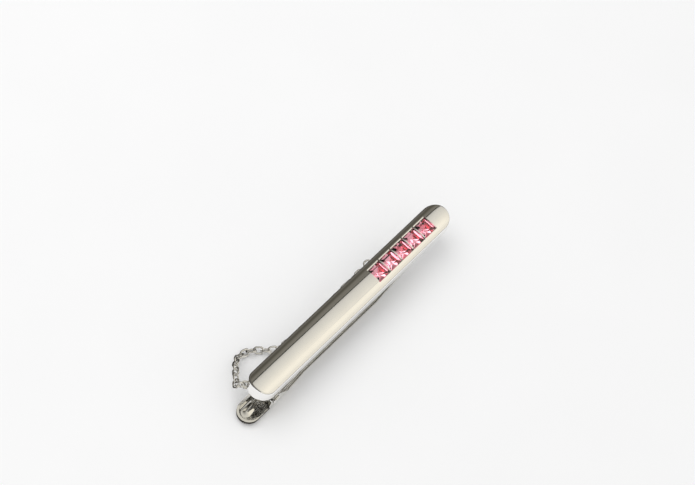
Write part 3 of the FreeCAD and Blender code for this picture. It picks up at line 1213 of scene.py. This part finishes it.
@dataclass
class WoundSpring(SubAssembly):
    """Torsion spring: a leg under the bracket, the coil round the pin, a leg on the tail."""

    finish = SPRING_WIRE
    slot = Slot.SPRING
    wire: float = 0.35 * MM
    wire_rings: int = 5
    coil_radius: float = 1.025 * MM
    pitch: float = 0.82 * MM
    full_turns: int = 2
    part_turn: float = 0.5
    leg_slope_deg: float = 25.0
    seat_gap: float = 0.05 * MM
    pin_height: float = 3.2 * MM
    bracket_under: float = 5.4 * MM
    tail_floor: float = 0.62 * MM
    steps: int = 96
    smooth_deg: float = 50.0

    def __post_init__(self) -> None:
        """Takes the spring's place across the bar from the frame."""
        low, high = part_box("torsion_spring")
        self.aside = (low.y + high.y) / 2

    def path(self) -> list[Vector]:
        """Works out the wire's centre line.

        Returns:
            Points from the upper leg to the lower one.
        """
        slope = math.radians(self.leg_slope_deg)
        sweep = math.pi - 2 * slope + self.full_turns * 2 * math.pi
        rise = self.pitch / (2 * math.pi)
        points = []
        for step in range(self.steps + 1):
            turn = sweep * step / self.steps
            angle = math.pi / 2 - slope - turn
            points.append(Vector((
                self.coil_radius * math.cos(angle),
                self.aside + turn * rise - sweep * rise / 2,
                self.pin_height + self.coil_radius * math.sin(angle),
            )))
        seat = self.seat_gap + self.wire / 2 * math.cos(slope)
        upper = (self.bracket_under - seat - points[0].z) / math.sin(slope)
        lower = (points[-1].z - self.tail_floor - seat) / math.sin(slope)
        back = Vector((-math.cos(slope), 0, math.sin(slope)))
        down = Vector((-math.cos(slope), 0, -math.sin(slope)))
        return [points[0] + back * upper] + points + [points[-1] + down * lower]

    def build(self) -> Pieces:
        """Models the spring as one round wire.

        Returns:
            Closed tube, by its node.
        """
        curve = bpy.data.curves.new("wound_spring", "CURVE")
        curve.dimensions = "3D"
        curve.bevel_depth = self.wire / 2
        curve.bevel_resolution = self.wire_rings
        curve.use_fill_caps = True
        points = self.path()
        spline = curve.splines.new("POLY")
        spline.points.add(len(points) - 1)
        for target, point in zip(spline.points, points):
            target.co = (*point, 1)
        make_active(add_object("wound_spring", curve))
        bpy.ops.object.convert(target="MESH")
        piece = bpy.context.active_object
        clean_shell(piece, self.smooth_deg)
        return {"torsion_spring": piece}

    def ride(self, piece: bpy.types.Object) -> None:
        """Bakes the spring's placement into its mesh and puts it on no body.

        Args:
            piece: Finished spring.
        """
        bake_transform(piece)


@dataclass
class CableChain(SubAssembly):
    """Links and jump rings of round wire, each where the frame has it."""

    finish = CHAIN_WIRE
    body = Body.CHAIN
    slot = Slot.CHAIN
    wire: float = 0.4 * MM
    link_length: float = 2.3 * MM
    link_width: float = 1.7 * MM
    ring_radius: float = 0.95 * MM
    loop_sides: int = 40
    wire_sides: int = 14
    smooth_deg: float = 60.0

    def loop(self, name: str, radius: float, straight: float) -> bpy.types.Object:
        """Models one closed loop of wire about the origin, long along Y.

        Args:
            name: Object name.
            radius: Radius of the wire's line at the round ends.
            straight: Length of the straight sides.

        Returns:
            Closed mesh.
        """
        deselect_all()
        bpy.ops.mesh.primitive_torus_add(
            major_radius=radius,
            minor_radius=self.wire / 2,
            major_segments=self.loop_sides,
            minor_segments=self.wire_sides,
            rotation=(0, 0, math.pi / self.loop_sides),
        )
        piece = take_new(name)
        apply_placement()
        edit(piece)
        for side in (-1, 1):
            pick(Element.POINT, lambda point: point.co.y * side > 0)
            move(y=side * straight / 2)
        done()
        clean_shell(piece, self.smooth_deg)
        return piece

    def place_of(self, node: str) -> Matrix:
        """Reads where a loop of the frame lies from its own corners.

        Args:
            node: Node name.

        Returns:
            Placement with Y along the loop and Z square to it.
        """
        places = [corner.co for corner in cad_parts[node].data.vertices]
        corners = np.unique(np.round(places, PLACE_DIGITS), axis=0)
        centre = (corners.max(0) + corners.min(0)) / 2
        _, axes = np.linalg.eigh(np.cov((corners - corners.mean(0)).T))
        square, _, along = (Vector(axes[:, k]) for k in range(3))
        wide = along.cross(square)
        turn = Matrix((wide, along, square)).transposed().to_4x4()
        return Matrix.Translation(Vector(centre)) @ turn

    def build(self) -> Pieces:
        """Models a link and a ring once, and lays a copy on each one of the frame.

        Returns:
            Rings and links by their nodes.
        """
        radius = (self.link_width - self.wire) / 2
        link = self.loop("link_pattern", radius, self.link_length - self.link_width)
        ring = self.loop("ring_pattern", self.ring_radius, 0)
        pieces = {}
        for pattern, mark in ((ring, "jump_ring"), (link, "chain_link_")):
            for node in nodes_with(mark):
                mesh = pattern.data.copy()
                mesh.transform(self.place_of(node))
                pieces[node] = add_object(f"wire_{node}", mesh)
            bpy.data.objects.remove(pattern)
        return pieces


@dataclass
class CrossBar(SubAssembly):
    """Round cross bar with an eye, on the far end of the chain."""

    finish = CHAIN_WIRE
    body = Body.CROSS_BAR
    slot = Slot.CHAIN
    edges: SoftEdges = SoftEdges(0.06 * MM)

    def build(self) -> Pieces:
        """Breaks the cross bar's edges."""
        return {"button_bar": self.edges.copy("button_bar", "cross_bar_rod")}


@dataclass(frozen=True)
class PaintedReflection(Finish):
    """Plain glowing sheet, flat in Y or in Z, that shows only in polished surfaces, where it is a painted
    reflection.
    """

    name: str
    low: tuple[float, float, float]
    high: tuple[float, float, float]
    axis: Axis
    tones: Tones

    def material(self) -> bpy.types.Material:
        """Makes the glow.

        Returns:
            Material with a tone of its own that changes along the axis.
        """
        material = bpy.data.materials.new(self.name)
        material.use_nodes = True
        tree = material.node_tree
        tree.nodes.clear()
        place = add_node(tree, "TexCoord", {}).outputs["Object"]
        along = add_node(tree, "SeparateXYZ", {"Vector": place}).outputs[self.axis.name]
        ends = {"From Min": self.low[self.axis.value], "From Max": self.high[self.axis.value]}
        share = add_node(tree, "MapRange", {"Value": along, **ends}).outputs["Result"]
        glow = add_node(tree, "Emission", {"Color": shade(tree, share, self.tones)})
        add_node(tree, "OutputMaterial", {"Surface": glow.outputs["Emission"]})
        return material

    def build(self) -> None:
        """Places the sheet, unseen by all but mirrored rays."""
        low = Vector(self.low)
        high = Vector(self.high)
        size = high - low
        deselect_all()
        bpy.ops.mesh.primitive_plane_add(
            size=1, location=(low + high) / 2, rotation=(0 if size.y else math.pi / 2, 0, 0)
        )
        sheet = take_new(self.name)
        sheet.scale = (size.x, size.y or size.z, 1)
        apply_placement()
        self.cover(sheet)
        sheet.visible_camera = False
        sheet.visible_diffuse = False
        sheet.visible_transmission = False
        sheet.visible_shadow = False


# Painted reflection: dark bands in tones of their own, which the bar's face and its +Y edge mirror as a
# dark strip
PAINTED_DARK_BANDS = PaintedReflection(
    "painted_dark_bands",
    low=(-0.5, 0.15, 0),
    high=(1.0, 0.15, 0.212),
    axis=Axis.Z,
    tones=(
        (0.0, (0.130, 0.120, 0.105)),
        (0.31, (0.135, 0.127, 0.110)),
        (0.39, (0.090, 0.083, 0.065)),
        (0.46, (0.084, 0.077, 0.060)),
        (0.545, (0.117, 0.109, 0.088)),
        (0.637, (0.165, 0.155, 0.130)),
        (0.741, (0.190, 0.180, 0.150)),
        (0.87, (0.170, 0.160, 0.135)),
        (0.90, (0.012, 0.011, 0.010)),
        (1.0, (0.010, 0.010, 0.009)),
    ),
)
# Painted reflection on the -Y side: a dark low band that gives the edges a dark outline, and a painted
# highlight above it on the -Y fillet and wall
PAINTED_SIDE_REFLECTION = PaintedReflection(
    "painted_side_reflection",
    low=(-0.5, -0.3, 0),
    high=(1.0, -0.3, 0.36),
    axis=Axis.Z,
    tones=(
        (0.0, (0.05, 0.047, 0.042)),
        (0.14, (0.05, 0.047, 0.042)),
        (0.17, (0.80, 0.76, 0.66)),
        (0.8, (0.86, 0.815, 0.71)),
        (1.0, (0.85, 0.805, 0.70)),
    ),
)
# Painted reflection: the floor on the +Y side, white to the camera, shows dark in polished surfaces,
# darkest next to the object
PAINTED_DARK_FLOOR = PaintedReflection(
    "painted_dark_floor",
    low=(-0.5, 8.5 * MM, 0.005 * MM),
    high=(1.0, 0.15, 0.005 * MM),
    axis=Axis.Y,
    tones=((0.0, (0.03, 0.028, 0.025)), (1.0, (0.10, 0.092, 0.08))),
)
# Painted shade: a dark sheet on the floor under the tail, which the jaw's tail mirrors as the shade
# beneath it; it casts no shadow
PAINTED_TAIL_SHADE = PaintedReflection(
    "painted_tail_shade",
    low=(-8.1 * MM, -4.0 * MM, 0.005 * MM),
    high=(-1.0 * MM, 2.6 * MM, 0.005 * MM),
    axis=Axis.X,
    tones=((0.0, (0.05, 0.047, 0.042)), (1.0, (0.06, 0.056, 0.05))),
)


@dataclass
class Studio:
    """Pale floor, soft light, glowing sheets of painted reflection and painted shade that only polished
    surfaces show, and the camera.
    """

    floor_size: float = 3.0
    painted_reflections: tuple[PaintedReflection, ...] = (PAINTED_DARK_BANDS, PAINTED_SIDE_REFLECTION, PAINTED_DARK_FLOOR, PAINTED_TAIL_SHADE)
    bright_side: tuple[float, float, float] = (0.429, -0.431, 0.794)
    # Tones of the painted reflection that polished surfaces see in place of the plain room light
    painted_room_reflection: Tones = (
        (0.0, (0.040, 0.038, 0.035)),
        (0.35, (0.360, 0.348, 0.316)),
        (0.688, (0.656, 0.634, 0.575)),
        (0.772, (0.694, 0.670, 0.605)),
        (0.876, (0.754, 0.725, 0.645)),
        (0.950, (0.842, 0.800, 0.700)),
        (0.982, (0.902, 0.855, 0.742)),
        (1.0, (0.985, 0.931, 0.800)),
    )
    room_light: Colour = (0.79, 0.79, 0.79)
    lamp_size: float = 0.7
    lamp_place: tuple[float, float, float] = (0.0, 0.3, 0.7)
    lamp_watts: float = 2.0
    camera_distance: float = 0.45
    camera_azimuth_deg: float = -153.58
    camera_elevation_deg: float = 61.35
    camera_roll_deg: float = 17.36
    camera_aim: tuple[float, float, float] = (32.07 * MM, 8.355 * MM, 8.7 * MM)
    camera_clip: float = 0.01
    focal_pixels: float = 2316.0
    sensor_width: float = 36.0

    def floor(self) -> None:
        """Lays the plain pale floor."""
        deselect_all()
        bpy.ops.mesh.primitive_plane_add(size=self.floor_size)
        floor = take_new("studio_floor")
        FLOOR_PAPER.cover(floor)

    def sky(self) -> None:
        """Sets a plain soft light, which polished metal alone sees as a painted reflection, warm and
        brighter on one side.
        """
        world = bpy.data.worlds.new("soft_room")
        world.use_nodes = True
        bpy.context.scene.world = world
        tree = world.node_tree
        place = add_node(tree, "TexCoord", {}).outputs["Generated"]
        side = Vector(self.bright_side).normalized()
        towards = add_node(tree, "VectorMath", {0: place, 1: side}, operation="DOT_PRODUCT")
        tones = shade(tree, towards.outputs["Value"], self.painted_room_reflection)
        # A ray through a stone can count as glossy too, so these rays are taken out
        rays = add_node(tree, "LightPath", {}).outputs
        kinds = {0: rays["Is Glossy Ray"], 1: rays["Is Transmission Ray"]}
        mirrored = add_node(tree, "Math", kinds, operation="SUBTRACT", use_clamp=True)
        choice = add_node(tree, "Mix", {0: mirrored.outputs["Value"]}, data_type="RGBA")
        plain, warm = (socket for socket in choice.inputs if socket.type == "RGBA")
        plain.default_value = (*self.room_light, 1)
        tree.links.new(tones, warm)
        result = next(socket for socket in choice.outputs if socket.type == "RGBA")
        set_inputs(tree.nodes["Background"], {"Color": result})

    def lamp(self) -> None:
        """Hangs one large soft lamp beside the object."""
        light = bpy.data.lights.new("soft_lamp", "AREA")
        light.shape = "DISK"
        light.size = self.lamp_size
        light.energy = self.lamp_watts
        lamp = add_object("soft_lamp", light)
        lamp.location = self.lamp_place
        lamp.rotation_euler = (-Vector(self.lamp_place)).to_track_quat("-Z", "Y").to_euler()
        lamp.visible_glossy = False

    def camera(self) -> None:
        """Sets the camera at the photograph's angle."""
        data = bpy.data.cameras.new("photo_camera")
        data.sensor_width = self.sensor_width
        data.lens = self.focal_pixels * self.sensor_width / PHOTO_WIDTH
        data.clip_start = self.camera_clip
        camera = add_object("photo_camera", data)
        azimuth = math.radians(self.camera_azimuth_deg)
        elevation = math.radians(self.camera_elevation_deg)
        level = math.cos(elevation)
        back = Vector((level * math.cos(azimuth), level * math.sin(azimuth), math.sin(elevation)))
        camera.location = Vector(self.camera_aim) + back * self.camera_distance
        turn = (-back).to_track_quat("-Z", "Y").to_matrix()
        roll = Matrix.Rotation(math.radians(self.camera_roll_deg), 3, "Z")
        camera.rotation_euler = (turn @ roll).to_euler()
        bpy.context.scene.camera = camera

    def build(self) -> None:
        """Sets up the whole studio."""
        bpy.context.scene.view_settings.view_transform = "Standard"
        self.floor()
        for sheet in self.painted_reflections:
            sheet.build()
        self.sky()
        self.lamp()
        self.camera()


def main() -> None:
    """Builds the studio and then every sub-assembly of the clip in order."""
    logging.basicConfig(level=logging.INFO, format="%(message)s")
    Studio().build()
    for kind in (DomedBar, StoneRow, ClipJaw, HingeSet, WoundSpring, CableChain, CrossBar):
        part = kind()
        part.dress(part.build())


if __name__ == "__main__":
    main()
